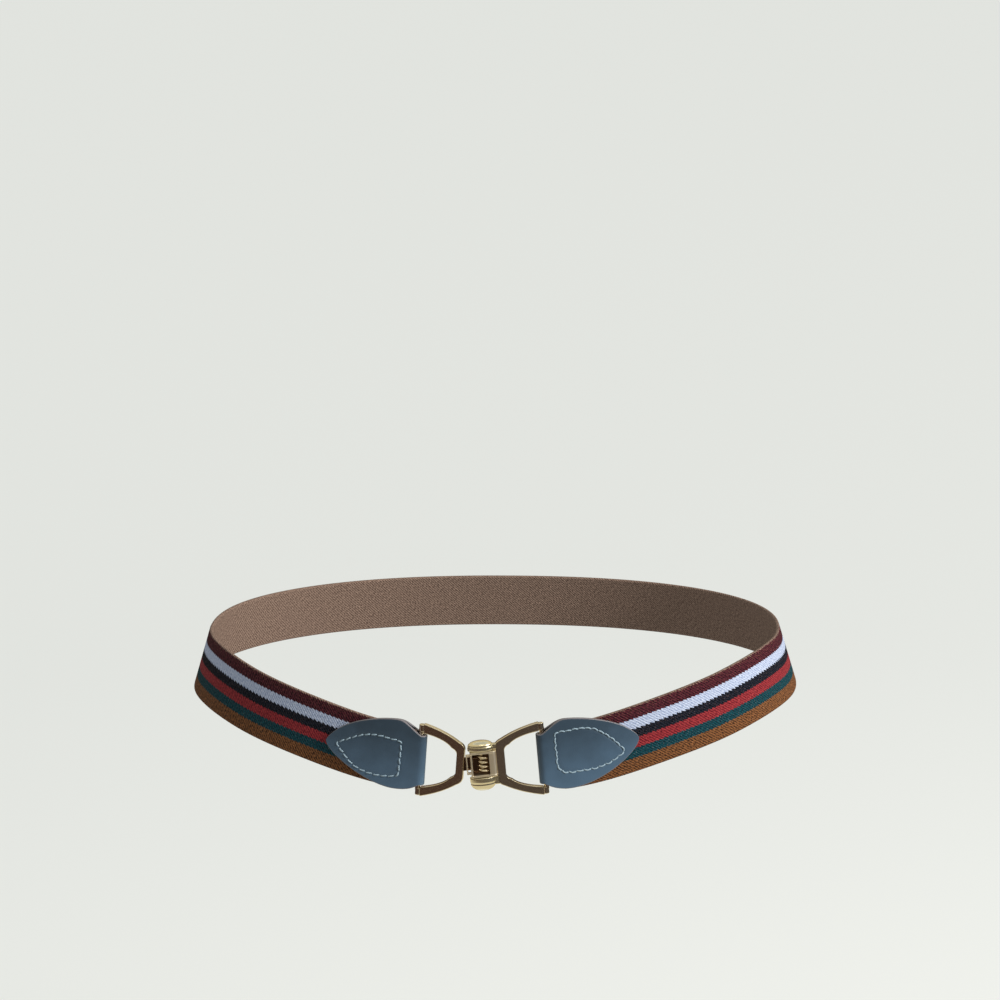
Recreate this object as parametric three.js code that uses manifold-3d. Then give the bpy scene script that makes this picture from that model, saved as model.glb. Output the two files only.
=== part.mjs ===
// Stretch belt: a striped elastic band that closes into a waist loop, with a leather tab on each end
// and a cast buckle in two halves that a hooked clasp holds together.
// Millimetres and degrees. +Z is up, the buckle faces -Y, and the origin is the middle of the loop,
// level with the band's centre line at the back.
import * as THREE from 'three';
import Module from 'manifold-3d';
import { mergeVertices } from 'three/addons/utils/BufferGeometryUtils.js';

const wasm = await Module();
wasm.setup();

// Driving dimensions

// Seen from above the loop is a slightly squared ellipse. Its front hangs lower than its back:
// the centre line falls by dip, from dipEnd to dipStart along the band, in half a cosine wave, and
// between the straight stretch and liftEnd it is raised a little, by a squared sine.
const loop = {
  halfWidth: 121, halfDepth: 88, squareness: 2.2, dip: 20, dipStart: 14, dipEnd: 141, lift: 1, liftEnd: 105,
};

// How far the band's upper edge leans inwards, at the buckle and at the sides and back.
const lean = { front: 1, side: 17 };

// Distance from the front centre within which each buckle half is straight.
const straight = 27;

const band = { width: 25.4, thickness: 1.6, edge: 0.35, start: 25.7, tuck: 1.6, tuckLength: 6, steps: 118 };

// Clearance between two pieces that touch, and how far a cut runs past the face it opens.
const seat = 0.3;
const cutPast = 1;

// Each leather strip, by distance from its folded edge: it flares from the fold to its widest place and
// then narrows to a rounded point. The leaf behind is narrower by backShare.
const leather = {
  thickness: 1.2, foldHalf: 9.9, flareAt: 2.0, widestHalf: 13.9, widestAt: 12.0, reach: 27.2, tip: 27.0,
  bulge: 1.6, roundness: 0.65, backShare: 0.935,
};

// How far the middle of each tab stands above the band's: in the fold, at its widest place and at
// its point.
const leatherShift = {
  left: { fold: -0.4, middle: 1.0, tip: -1.5 },
  right: { fold: 0.6, middle: 1.7, tip: 0.5 },
};

const bar = { station: 24.0, radius: 1.0, half: 12.4 };

// One cast ring: its half height at the wide end, how far its arms bow outwards, its corners, and the
// back and front of its face.
const ring = {
  wideHalf: 14.4, armEnd: 22.6, bow: 0.9, outerCorner: 2.4, innerCorner: 2.2, cornerShare: 0.8,
  back: -1.1, front: 1.2, bevel: 0.35,
};

// The narrow end of each ring: where it starts, its half height, and the width of its bar and of the
// arms. The ring's middle stands above the band's by low at this end and by high at the wide one.
const ringEnd = {
  left: { start: 6.5, half: 7.5, post: 3.0, arm: 3.7, low: 0, high: -0.4 },
  right: { start: 5.6, half: 8.4, post: 3.4, arm: 3.4, low: 0.7, high: 0.6 },
};

// The lug on each arm's end, and the round eye on it that holds the bar.
const lug = { from: 21.4, at: 23.6, inner: 11.3, outer: 14.1, back: -0.8, front: 0.5, radius: 1.3 };

// The two domed hinge knuckles, above and below the clasp clip.
const knuckle = { halfWidth: 5.0, halfDepth: 3.2, roundness: 0.75, domeSteps: 5, sides: 20 };
const knuckles = [
  { up: 1, start: 6.3, end: 10.1, dome: 2.4, webEnd: 8.5 },
  { up: -1, start: 4.2, end: 9.6, dome: 3.4, webEnd: 7.6 },
];
const knuckleWeb = { from: 3.4, to: 6.8, back: -1.1, front: 1.2 };

// The clip that swings between the knuckles: a channel open to the front and to the left. A bar joins
// its two rails at the open side, and a narrower one stands further out, carried by an arm at each end.
const clip = {
  left: -4.3, right: 5.3, top: 6.0, low: -3.9, back: -3.0, front: 2.6,
  flange: 0.8, backWall: 0.9, pocketRight: 2.9, roundFront: 1.5, roundBack: 1,
};
const clipBars = [
  { x: [-4.3, -3.6], y: [-3.5, 5.6], z: [-0.2, 2.2] },
  { x: [-5.95, -5.45], y: [-2.6, 5.2], z: [0.4, 2.0] },
  { x: [-5.95, -3.8], y: [4.5, 5.2], z: [0.4, 2.0] },
  { x: [-5.95, -3.8], y: [-2.6, -1.9], z: [0.4, 2.0] },
];

const pin = { at: 4.15, depth: -0.5, radius: 0.5, top: 7.9, low: -5.8 };

// The left casting's tongue passes behind both bars, and its tooth stands up inside the clip.
const tongue = { left: -7.6, right: -0.5, low: -1.6, top: 3.6, back: -1.8, front: -0.9 };
const tooth = { left: -3.3, right: -1.7, front: 1.2 };

// The spring in the clip's window: wire wound upwards in flattened turns, beside the tooth.
const spring = {
  radius: 0.42, sides: 8, turns: 4, stepsPerTurn: 14, at: 0.6, depth: 0.9, halfWidth: 1.5, halfDepth: 1.0,
  low: -2.3, high: 4.4,
};

// Finishes

const webbingFinish = new THREE.MeshStandardMaterial({ color: '#7d4a33', roughness: 0.9, metalness: 0 });
const leatherFinish = new THREE.MeshStandardMaterial({ color: '#44586c', roughness: 0.55, metalness: 0 });
const goldFinish = new THREE.MeshStandardMaterial({ color: '#c9b489', roughness: 0.2, metalness: 1 });

// The loop's centre line

const outlineSteps = 2880;

/** Points of half the loop seen from above, from the front centre to the back centre by +X. */
function halfOutline() {
  const power = 2 / loop.squareness;
  const points = [];
  let walked = 0;
  for (let step = 0; step <= outlineSteps; step += 1) {
    const angle = (Math.PI * step) / outlineSteps;
    const x = loop.halfWidth * Math.abs(Math.sin(angle)) ** power;
    const y = -loop.halfDepth * Math.sign(Math.cos(angle)) * Math.abs(Math.cos(angle)) ** power;
    if (step > 0) {
      const last = points[step - 1];
      walked += Math.hypot(x - last.x, y - last.y);
    }
    points.push({ walked, x, y });
  }
  return points;
}

const outline = halfOutline();
const halfLength = outline[outlineSteps].walked;

/** The outline's point at a distance from the front centre, between 0 and halfLength. */
function pointOnOutline(distance) {
  let low = 0;
  let high = outlineSteps;
  while (high - low > 1) {
    const middle = (low + high) >> 1;
    if (outline[middle].walked > distance) {
      high = middle;
    } else {
      low = middle;
    }
  }
  const from = outline[low];
  const to = outline[high];
  const share = (distance - from.walked) / (to.walked - from.walked);
  return new THREE.Vector2(from.x + share * (to.x - from.x), from.y + share * (to.y - from.y));
}

/** Half a cosine wave from 0 to 1 as the value goes from start to end. */
function smoothRise(value, start, end) {
  const share = THREE.MathUtils.clamp((value - start) / (end - start), 0, 1);
  return (1 - Math.cos(Math.PI * share)) / 2;
}

/** The same place round the loop, as a distance of at most halfLength on either side. */
function nearWay(distance) {
  return distance - 2 * halfLength * Math.round(distance / (2 * halfLength));
}

/** A point of the centre line, at a distance round the loop from the front centre. */
function centreLine(distance) {
  const wrapped = nearWay(distance);
  const side = wrapped < 0 ? -1 : 1;
  const away = Math.abs(wrapped);
  const flat = pointOnOutline(away);
  const beyond = THREE.MathUtils.clamp((away - straight) / (loop.liftEnd - straight), 0, 1);
  const lifted = loop.lift * Math.sin(Math.PI * beyond) ** 2;
  const height = lifted - loop.dip * (1 - smoothRise(away, loop.dipStart, loop.dipEnd));
  return new THREE.Vector3(side * flat.x, flat.y, height);
}

/**
 * The band's place at a distance round the loop: its centre, the direction along the band, the
 * direction up its width, and the direction out of its face. Within the straight stretch on each
 * side of the front centre the directions stay those of the stretch's outer end.
 */
function placeOnLoop(distance) {
  const wrapped = nearWay(distance);
  const side = wrapped < 0 ? -1 : 1;
  const away = Math.max(Math.abs(wrapped), straight);
  const nudge = 0.25;
  const along = centreLine(side * away + nudge).sub(centreLine(side * away - nudge)).normalize();
  const centre = centreLine(side * away).addScaledVector(along, wrapped - side * away);
  const upright = new THREE.Vector3(0, 0, 1).addScaledVector(along, -along.z).normalize();
  const outward = new THREE.Vector3().crossVectors(along, upright);
  const degrees = THREE.MathUtils.lerp(lean.front, lean.side, smoothRise(away, straight, loop.dipEnd));
  const angle = THREE.MathUtils.degToRad(degrees);
  const up = upright.clone().multiplyScalar(Math.cos(angle)).addScaledVector(outward, -Math.sin(angle));
  const out = new THREE.Vector3().crossVectors(along, up);
  return { centre, along, up, out };
}

/** A point given by its distance round the loop, its height up the width and its depth out. */
function pointOnBand(distance, height, depth) {
  const place = placeOnLoop(distance);
  return place.centre.addScaledVector(place.up, height).addScaledVector(place.out, depth);
}

// Shapes

/** A closed body through rings of equally many points, with a flat cap on both ends. */
function loft(rings) {
  const count = rings[0].length;
  const corners = [];
  for (let level = 0; level + 1 < rings.length; level += 1) {
    for (let index = 0; index < count; index += 1) {
      const next = (index + 1) % count;
      const here = level * count;
      const there = here + count;
      corners.push(here + index, here + next, there + next, here + index, there + next, there + index);
    }
  }
  const last = (rings.length - 1) * count;
  for (let index = 1; index + 1 < count; index += 1) {
    corners.push(0, index + 1, index, last, last + index, last + index + 1);
  }
  const geometry = new THREE.BufferGeometry().setFromPoints(rings.flat());
  geometry.setIndex(corners);
  return facingOut(geometry);
}

/** The same closed geometry with its triangles turned, if need be, to face outwards. */
function facingOut(geometry) {
  const place = geometry.getAttribute('position');
  const corners = geometry.getIndex();
  const points = [0, 1, 2].map(() => new THREE.Vector3());
  let volume = 0;
  for (let start = 0; start < corners.count; start += 3) {
    points.forEach((point, offset) => point.fromBufferAttribute(place, corners.getX(start + offset)));
    volume += points[0].dot(points[1].clone().cross(points[2])) / 6;
  }
  if (volume < 0) {
    for (let start = 0; start < corners.count; start += 3) {
      const second = corners.getX(start + 1);
      corners.setX(start + 1, corners.getX(start + 2));
      corners.setX(start + 2, second);
    }
  }
  geometry.computeVertexNormals();
  return geometry;
}

/** A solid for boolean work, from a closed three.js geometry. */
function solid(geometry) {
  const bare = geometry.getIndex() ? geometry.toNonIndexed() : geometry.clone();
  bare.deleteAttribute('normal');
  bare.deleteAttribute('uv');
  const merged = mergeVertices(bare, 1e-4);
  const vertProperties = new Float32Array(merged.getAttribute('position').array);
  const triVerts = new Uint32Array(merged.getIndex().array);
  return new wasm.Manifold(new wasm.Mesh({ numProp: 3, vertProperties, triVerts }));
}

/** All the geometries joined into one solid. */
function joined(geometries) {
  return geometries.map(solid).reduce((whole, piece) => whole.add(piece));
}

/** The three.js geometry of a solid. */
function geometryOf(manifold) {
  const mesh = manifold.getMesh();
  const geometry = new THREE.BufferGeometry();
  geometry.setAttribute('position', new THREE.BufferAttribute(new Float32Array(mesh.vertProperties), 3));
  geometry.setIndex(new THREE.BufferAttribute(new Uint32Array(mesh.triVerts), 1));
  geometry.computeVertexNormals();
  return geometry;
}

/** A box between two places on each axis, given in either order. */
function block(x, y, z) {
  const geometry = new THREE.BoxGeometry(...[x, y, z].map(([from, to]) => Math.abs(to - from)));
  return geometry.translate((x[0] + x[1]) / 2, (y[0] + y[1]) / 2, (z[0] + z[1]) / 2);
}

/** A round rod up the width of the band, at a place along it and a depth, between two heights. */
function rod(at, depth, radius, low, top, sides) {
  return new THREE.CylinderGeometry(radius, radius, top - low, sides).translate(at, (low + top) / 2, depth);
}

// Elastic webbing

/** Half the webbing's width: its cut ends are tucked in at the corners. */
function webbingHalf(fromEnd) {
  return band.width / 2 - band.tuck * (1 - smoothRise(fromEnd, 0, band.tuckLength));
}

function webbingGeometry() {
  const total = 2 * (halfLength - band.start);
  const rings = [];
  for (let step = 0; step <= band.steps; step += 1) {
    const walked = (total * step) / band.steps;
    const half = webbingHalf(Math.min(walked, total - walked));
    const thick = band.thickness / 2;
    const section = [
      [half - band.edge, -thick],
      [half, band.edge - thick],
      [half, thick - band.edge],
      [half - band.edge, thick],
      [band.edge - half, thick],
      [-half, thick - band.edge],
      [-half, band.edge - thick],
      [band.edge - half, -thick],
    ];
    rings.push(section.map(([height, depth]) => pointOnBand(band.start + walked, height, depth)));
  }
  return loft(rings);
}

// Leather tabs

const leafDepth = band.thickness / 2 + seat + leather.thickness / 2;
const foldRadius = bar.radius + seat + leather.thickness / 2;
const foldEdge = bar.station - foldRadius - leather.thickness / 2;

/** Half the tab's width at a distance from its folded edge. */
function leatherHalf(fromFold) {
  if (fromFold < leather.widestAt) {
    const share = Math.max(fromFold - leather.flareAt, 0) / (leather.widestAt - leather.flareAt);
    return leather.foldHalf + (leather.widestHalf - leather.foldHalf) * Math.sin((Math.PI / 2) * share);
  }
  const share = (fromFold - leather.widestAt) / leather.reach;
  return leather.widestHalf * (1 - share ** leather.bulge) ** leather.roundness;
}

/** How far the tab's middle stands above the band's at a distance from its folded edge. */
function leatherMiddle({ fold, middle, tip }, fromFold) {
  const flared = smoothRise(fromFold, leather.flareAt, leather.widestAt);
  const share = Math.max(fromFold - leather.widestAt, 0) / leather.reach;
  return fold + (middle - fold) * flared + (tip - middle) * share ** 4;
}

/**
 * Stations along the strip, from the front leaf's tip round the bar to the back leaf's tip: the
 * distance from the front centre, the depth, the direction through the leather there, and how much of
 * the full width it has.
 */
function leatherStations() {
  const leafSteps = 15;
  const foldSteps = 8;
  const tipAt = foldEdge + leather.widestAt + leather.tip;
  const front = [];
  for (let step = 0; step <= leafSteps; step += 1) {
    const share = Math.cos((Math.PI / 2) * (step / leafSteps));
    const at = bar.station + share * (tipAt - bar.station);
    const settle = smoothRise(at - bar.station, 0, 5);
    const depth = THREE.MathUtils.lerp(foldRadius, leafDepth, settle);
    front.push({ at, depth, through: [0, 1], part: 1 });
  }
  const fold = [];
  for (let step = 1; step < foldSteps; step += 1) {
    const angle = (Math.PI * step) / foldSteps;
    const through = [-Math.sin(angle), Math.cos(angle)];
    const depth = foldRadius * through[1];
    fold.push({ at: bar.station + foldRadius * through[0], depth, through, part: 1 });
  }
  const back = front.map(({ at, depth }) => {
    const flared = smoothRise(at - foldEdge, leather.flareAt, leather.widestAt);
    const part = THREE.MathUtils.lerp(1, leather.backShare, flared);
    return { at, depth: -depth, through: [0, -1], part };
  }).reverse();
  return [...front, ...fold, ...back];
}

/** The folded leather strip on one side: side is -1 on the left and 1 on the right. */
function leatherGeometry(side, shift) {
  const thick = leather.thickness / 2;
  const rings = leatherStations().map(({ at, depth, through, part }) => {
    const half = part * leatherHalf(at - foldEdge);
    const middle = leatherMiddle(shift, at - foldEdge);
    const corners = [[half, -thick], [half, thick], [-half, thick], [-half, -thick]];
    return corners.map(([height, skin]) => (
      pointOnBand(side * (at + skin * through[0]), middle + height, depth + skin * through[1])
    ));
  });
  return loft(rings);
}

// Buckle castings, in a frame with X along the band, Y up its width and Z out of its face

/** The outline of one cast ring, open at its wide end, with X turned about for the left half. */
function ringShape({ start, half, post, arm, low, high }, side) {
  const slope = (ring.wideHalf - half) / (ring.armEnd - start);
  const windowStart = start + post;
  const windowNarrow = half + slope * post - arm;
  const windowWide = ring.wideHalf - arm;
  const middle = (start + ring.armEnd) / 2;
  const cornerX = start + ring.outerCorner;
  const cornerY = half + slope * ring.outerCorner;
  const sideY = half - ring.cornerShare * ring.outerCorner;
  const innerX = windowStart + ring.innerCorner;
  const innerY = windowNarrow + slope * ring.innerCorner;
  const innerSideY = windowNarrow - ring.cornerShare * ring.innerCorner;
  const outerBow = (cornerY + ring.wideHalf) / 2 + ring.bow;
  const innerBow = (innerY + windowWide) / 2 + ring.bow;
  const shape = new THREE.Shape();
  const raised = (x, y) => y + THREE.MathUtils.mapLinear(x, start, ring.armEnd, low, high);
  const curve = (byX, byY, toX, toY) => (
    shape.quadraticCurveTo(side * byX, raised(byX, byY), side * toX, raised(toX, toY))
  );
  shape.moveTo(side * ring.armEnd, raised(ring.armEnd, ring.wideHalf));
  curve(middle, outerBow, cornerX, cornerY);
  curve(start, half, start, sideY);
  shape.lineTo(side * start, raised(start, -sideY));
  curve(start, -half, cornerX, -cornerY);
  curve(middle, -outerBow, ring.armEnd, -ring.wideHalf);
  shape.lineTo(side * ring.armEnd, raised(ring.armEnd, -windowWide));
  curve(middle, -innerBow, innerX, -innerY);
  curve(windowStart, -windowNarrow, windowStart, -innerSideY);
  shape.lineTo(side * windowStart, raised(windowStart, innerSideY));
  curve(windowStart, windowNarrow, innerX, innerY);
  curve(middle, innerBow, ring.armEnd, windowWide);
  shape.closePath();
  return shape;
}

/** The ring, its two lugs with their eyes, and the bar that the leather folds round. */
function ringGeometries(end, side) {
  const face = new THREE.ExtrudeGeometry(ringShape(end, side), {
    depth: ring.front - ring.back - 2 * ring.bevel,
    bevelEnabled: true,
    bevelThickness: ring.bevel,
    bevelSize: ring.bevel,
    bevelOffset: -ring.bevel,
    bevelSegments: 1,
    curveSegments: 8,
  });
  face.translate(0, 0, ring.back + ring.bevel);
  const lugs = [-lug.outer, lug.inner].flatMap((low) => {
    const heights = [end.high + low, end.high + low + lug.outer - lug.inner];
    return [
      block([side * lug.from, side * lug.at], heights, [lug.back, lug.front]),
      rod(side * lug.at, 0, lug.radius, ...heights, 16),
    ];
  });
  const crossbar = rod(side * bar.station, 0, bar.radius, end.high - bar.half, end.high + bar.half, 12);
  return [face, ...lugs, crossbar];
}

/** One hinge knuckle: a flattened drum between the clip and a domed end. */
function knuckleGeometry({ up, start, end, dome }) {
  const rim = end - dome;
  const profile = [new THREE.Vector2(0, start), new THREE.Vector2(knuckle.halfWidth, start)];
  for (let step = 0; step < knuckle.domeSteps; step += 1) {
    const angle = (Math.PI / 2) * (step / knuckle.domeSteps);
    const x = knuckle.halfWidth * Math.cos(angle) ** knuckle.roundness;
    profile.push(new THREE.Vector2(x, rim + dome * Math.sin(angle)));
  }
  profile.push(new THREE.Vector2(0, end));
  const geometry = new THREE.LatheGeometry(profile, knuckle.sides);
  geometry.scale(1, 1, knuckle.halfDepth / knuckle.halfWidth);
  if (up < 0) {
    geometry.rotateZ(Math.PI);
  }
  return geometry;
}

function rightCasting() {
  const pieces = ringGeometries(ringEnd.right, 1);
  knuckles.forEach((drum) => {
    const heights = [drum.up * drum.start, drum.up * drum.webEnd];
    pieces.push(knuckleGeometry(drum));
    pieces.push(block([knuckleWeb.from, knuckleWeb.to], heights, [knuckleWeb.back, knuckleWeb.front]));
  });
  const bore = rod(pin.at, pin.depth, pin.radius + seat, pin.low - seat, pin.top + seat, 12);
  const clipRoom = block(
    [clip.left - cutPast, clip.right + seat],
    [clip.low - seat, clip.top + seat],
    [clip.back - cutPast, clip.front + cutPast],
  );
  return geometryOf(joined(pieces).subtract(solid(bore)).subtract(solid(clipRoom)));
}

/** The left casting's ring lies in its own half's plane, given by its matrix in the clasp's frame. */
function leftCasting(ringMatrix) {
  const pieces = ringGeometries(ringEnd.left, -1).map((geometry) => geometry.applyMatrix4(ringMatrix));
  const heights = [tongue.low, tongue.top];
  pieces.push(block([tongue.left, tongue.right], heights, [tongue.back, tongue.front]));
  pieces.push(block([tooth.left, tooth.right], heights, [tongue.back, tooth.front]));
  return geometryOf(joined(pieces));
}

// Clasp

function clipGeometry() {
  const profile = new THREE.Shape();
  profile.moveTo(clip.left, -clip.front);
  profile.lineTo(clip.right - clip.roundFront, -clip.front);
  profile.quadraticCurveTo(clip.right, -clip.front, clip.right, clip.roundFront - clip.front);
  profile.lineTo(clip.right, -clip.back - clip.roundBack);
  profile.quadraticCurveTo(clip.right, -clip.back, clip.right - clip.roundBack, -clip.back);
  profile.lineTo(clip.left, -clip.back);
  profile.closePath();
  const depth = clip.top - clip.low;
  const body = new THREE.ExtrudeGeometry(profile, { depth, bevelEnabled: false, curveSegments: 6 });
  body.rotateX(-Math.PI / 2).translate(0, clip.low, 0);
  const pocket = block(
    [clip.left - cutPast, clip.pocketRight],
    [clip.low + clip.flange, clip.top - clip.flange],
    [clip.back + clip.backWall, clip.front + cutPast],
  );
  const bore = rod(pin.at, pin.depth, pin.radius + seat, clip.low - cutPast, clip.top + cutPast, 12);
  const shell = solid(body).subtract(solid(pocket)).subtract(solid(bore));
  return geometryOf(shell.add(joined(clipBars.map(({ x, y, z }) => block(x, y, z)))));
}

function pinGeometry() {
  return rod(pin.at, pin.depth, pin.radius, pin.low, pin.top, 10);
}

function springGeometry() {
  const steps = spring.turns * spring.stepsPerTurn;
  const points = [];
  for (let step = 0; step <= steps; step += 1) {
    const angle = (2 * Math.PI * step) / spring.stepsPerTurn;
    const along = spring.at + spring.halfWidth * Math.sin(angle);
    const height = THREE.MathUtils.lerp(spring.low, spring.high, step / steps);
    points.push(new THREE.Vector3(along, height, spring.depth - spring.halfDepth * Math.cos(angle)));
  }
  const route = new THREE.CatmullRomCurve3(points);
  const section = new THREE.Shape();
  for (let side = 0; side < spring.sides; side += 1) {
    const angle = (2 * Math.PI * side) / spring.sides;
    const x = spring.radius * Math.cos(angle);
    const y = spring.radius * Math.sin(angle);
    if (side === 0) {
      section.moveTo(x, y);
    } else {
      section.lineTo(x, y);
    }
  }
  section.closePath();
  return new THREE.ExtrudeGeometry(section, { steps, extrudePath: route });
}

// Assembly

/** The matrix of one buckle half, from its own frame to the belt's. */
function halfMatrix(side) {
  const place = placeOnLoop(side * 1e-6);
  return new THREE.Matrix4().makeBasis(place.along, place.up, place.out).setPosition(place.centre);
}

function piece(name, geometry, material) {
  const mesh = new THREE.Mesh(geometry, material);
  mesh.name = name;
  return mesh;
}

const claspMatrix = halfMatrix(1);
const leftRingMatrix = claspMatrix.clone().invert().multiply(halfMatrix(-1));

const buckle = new THREE.Group();
claspMatrix.decompose(buckle.position, buckle.quaternion, buckle.scale);
buckle.add(
  piece('buckle_frame_left', leftCasting(leftRingMatrix), goldFinish),
  piece('buckle_frame_right', rightCasting(), goldFinish),
  piece('clasp_clip', clipGeometry(), goldFinish),
  piece('hinge_pin', pinGeometry(), goldFinish),
  piece('clasp_spring', springGeometry(), goldFinish),
);

const belt = new THREE.Group();
belt.add(
  piece('elastic_webbing', webbingGeometry(), webbingFinish),
  piece('leather_tab_left', leatherGeometry(-1, leatherShift.left), leatherFinish),
  piece('leather_tab_right', leatherGeometry(1, leatherShift.right), leatherFinish),
  buckle,
);
belt.updateMatrixWorld(true);

export default belt;
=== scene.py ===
import bpy
import numpy as np
from mathutils import Matrix


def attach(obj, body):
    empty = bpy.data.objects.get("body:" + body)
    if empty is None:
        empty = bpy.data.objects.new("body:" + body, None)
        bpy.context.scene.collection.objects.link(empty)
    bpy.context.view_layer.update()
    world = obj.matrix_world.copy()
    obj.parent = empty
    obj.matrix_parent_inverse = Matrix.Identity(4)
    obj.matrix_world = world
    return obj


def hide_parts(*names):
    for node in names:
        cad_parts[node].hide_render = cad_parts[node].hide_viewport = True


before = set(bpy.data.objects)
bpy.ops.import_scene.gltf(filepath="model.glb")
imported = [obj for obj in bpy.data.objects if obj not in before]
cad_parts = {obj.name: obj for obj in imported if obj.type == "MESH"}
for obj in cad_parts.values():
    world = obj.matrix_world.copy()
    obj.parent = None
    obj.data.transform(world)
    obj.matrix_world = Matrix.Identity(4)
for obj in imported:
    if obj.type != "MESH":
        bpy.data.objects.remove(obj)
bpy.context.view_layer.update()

# Elastic webbing.
# A stretch tape of covered rubber and polyester yarns, woven as a twill with six stripes on its face
# and a plain tan back. It runs in one length from tab to tab, its cut ends sewn inside the leather.

MM = 0.001
LOOP_HALF_WIDTH = 121.0
LOOP_HALF_DEPTH = 88.0
LOOP_SQUARENESS = 2.2
DIP = 20.0
DIP_START = 14.0
DIP_END = 141.0
LIFT = 1.0
LIFT_END = 105.0
STRAIGHT = 27.0
LEAN_FRONT = 1.0
LEAN_SIDE = 17.0

WEBBING_WIDTH = 25.4
WEBBING_THICKNESS = 1.6
WEBBING_EDGE = 0.6
WEBBING_START = 25.7
WEBBING_TUCK = 1.6
WEBBING_TUCK_LENGTH = 6.0
WEBBING_ROWS = 620
TOOTH_STEP = 1.9
RIB_STEP = TOOTH_STEP / 1.5


def smooth_rise(value, start, end):
    """Half a cosine wave from 0 to 1 as the value goes from start to end."""
    share = np.clip((value - start) / (end - start), 0, 1)
    return (1 - np.cos(np.pi * share)) / 2


def unit(vectors):
    """The same vectors, each of length one."""
    return vectors / np.linalg.norm(vectors, axis=-1, keepdims=True)


# Seen from above the loop is a superellipse: x = a sin(t)^(2/n), y = -b cos(t)^(2/n), t from 0 to 180
# degrees for the half on the +X side, from the front to the back. The other half is its mirror image.
turn = np.linspace(0, np.pi, 2881)
outline_x = LOOP_HALF_WIDTH * np.abs(np.sin(turn)) ** (2 / LOOP_SQUARENESS)
outline_y = -LOOP_HALF_DEPTH * np.sign(np.cos(turn)) * np.abs(np.cos(turn)) ** (2 / LOOP_SQUARENESS)
outline_walked = np.append(0, np.cumsum(np.hypot(np.diff(outline_x), np.diff(outline_y))))
half_length = outline_walked[-1]


def near_way(distance):
    """The same place round the loop, as a distance of at most half_length on either side."""
    return distance - 2 * half_length * np.round(distance / (2 * half_length))


def centre_line(distance):
    """
    Points of the band's centre line: the front hangs lower than the back by a smooth dip, and beside the
    straight stretch the band is lifted a little, by a squared sine.
    """
    wrapped = near_way(distance)
    away = np.abs(wrapped)
    x = np.where(wrapped < 0, -1, 1) * np.interp(away, outline_walked, outline_x)
    y = np.interp(away, outline_walked, outline_y)
    beyond = np.clip((away - STRAIGHT) / (LIFT_END - STRAIGHT), 0, 1)
    z = LIFT * np.sin(np.pi * beyond) ** 2 - DIP * (1 - smooth_rise(away, DIP_START, DIP_END))
    return np.stack([x, y, z], -1)


def place_on_loop(distance):
    """
    Centre, direction along, direction up the width and direction out of the face, at distances round the
    loop from the front centre. The upper edge leans inwards, more at the sides than at the buckle, and
    within the straight stretch the directions stay those of its outer end.
    """
    wrapped = near_way(distance)
    held = np.where(wrapped < 0, -1, 1) * np.maximum(np.abs(wrapped), STRAIGHT)
    along = unit(centre_line(held + 0.25) - centre_line(held - 0.25))
    centre = centre_line(held) + (wrapped - held)[..., None] * along
    upright = unit(np.array([0, 0, 1]) - along * along[..., 2:])
    outward = np.cross(along, upright)
    share = smooth_rise(np.abs(held), STRAIGHT, DIP_END)
    lean = np.radians(LEAN_FRONT + (LEAN_SIDE - LEAN_FRONT) * share)[..., None]
    up = np.cos(lean) * upright - np.sin(lean) * outward
    return centre, along, up, np.cross(along, up)


def on_band(distance, height, depth):
    """Points given by the distance round the loop, the height up the width and the depth out."""
    distance, height, depth = np.broadcast_arrays(distance, height, depth)
    centre, _, up, out = place_on_loop(distance)
    return centre + height[..., None] * up + depth[..., None] * out


def rounded_section(half, radius, steps, flat_steps):
    """
    Rows of points round a rectangle with rounded corners. half holds each row's two half sizes. A point is
    sign * (half - radius) + radius * offset, and flat_steps points divide the sides along the first size.
    The points start in the middle of the side where the second size is negative.
    """
    bend = np.radians(np.linspace(0, 90, steps + 1))
    arc = np.stack([np.cos(bend), np.sin(bend)], -1)
    offset = np.concatenate([[[1, -0.15]], arc, [[-0.15, 1]]])
    sign = np.ones_like(offset)
    pieces = []
    for quarter in range(4):
        pieces.append(np.concatenate([sign, offset], -1))
        share = np.linspace(0, 1, flat_steps + 2)[1:-1, None]
        offset = np.stack([-offset[:, 1], offset[:, 0]], -1)
        sign = np.stack([-sign[:, 1], sign[:, 0]], -1)
        if quarter % 2 == 0:
            last = pieces[-1][-1]
            following = np.concatenate([sign[0], offset[0]])
            pieces.append(last + share * (following - last))
    corners = np.concatenate(pieces)
    middle = 2 * (steps + 3) + flat_steps + (steps + 3) + flat_steps // 2
    corners = np.roll(corners, -middle, axis=0)
    return corners[:, :2] * (half[:, None] - radius) + radius * corners[:, 2:]


def tube_faces(rows, columns):
    """Corner numbers of a closed tube's quads, row by row, then of the caps on its first and last rows."""
    row, column = np.meshgrid(np.arange(rows - 1), np.arange(columns), indexing="ij")
    here = row * columns + column
    beside = row * columns + (column + 1) % columns
    quads = np.stack([here, beside, beside + columns, here + columns], -1).reshape(-1, 4)
    return quads, np.arange(columns)[::-1], (rows - 1) * columns + np.arange(columns)


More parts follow.
